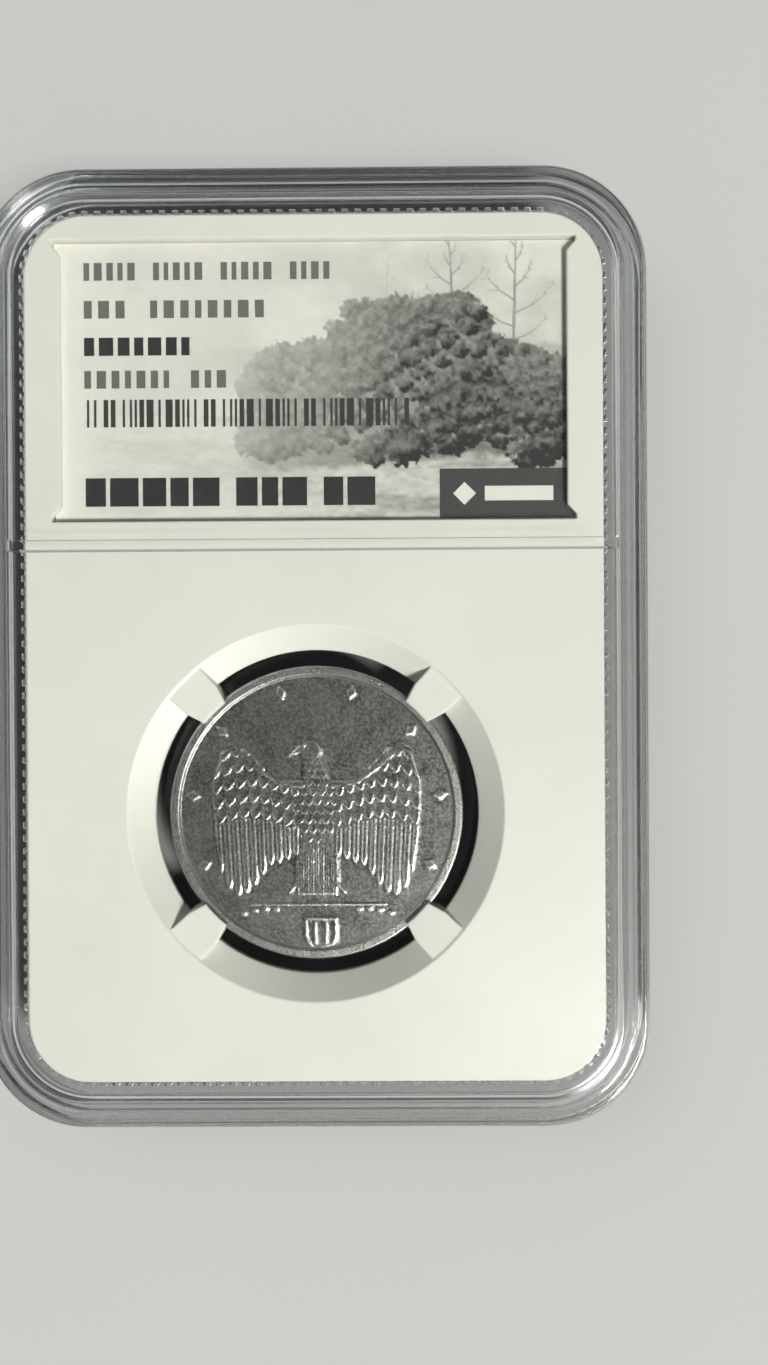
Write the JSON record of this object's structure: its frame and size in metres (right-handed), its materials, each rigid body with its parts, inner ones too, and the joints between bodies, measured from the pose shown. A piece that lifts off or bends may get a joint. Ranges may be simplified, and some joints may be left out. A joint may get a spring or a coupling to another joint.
{
  "type": "graded coin slab",
  "caption": "Flat clear two-shell holder, welded shut, with a white core that grips a round coin by its edge under a label card.",
  "frame": {"origin": "middle of the area the slab rests on when it lies on its back, at the height of that surface", "axes": "+X to the right seen from the front, +Y towards the label end, +Z out of the front window"},
  "size_m": [0.0596, 0.0856, 0.0081],
  "materials": {
    "clear_shell": "polished clear polystyrene",
    "white_core": "satin, warm white",
    "label_card": "printed card",
    "foil": "embossed foil",
    "coin_steel": "worn, circulated"
  },
  "bodies": {
    "root": {"front_shell": "clear_shell", "back_shell": "clear_shell", "core": "white_core", "front_label": "label_card", "rear_label": "label_card", "security_foil": "foil", "coin": "coin_steel"}
  },
  "joints": []
}
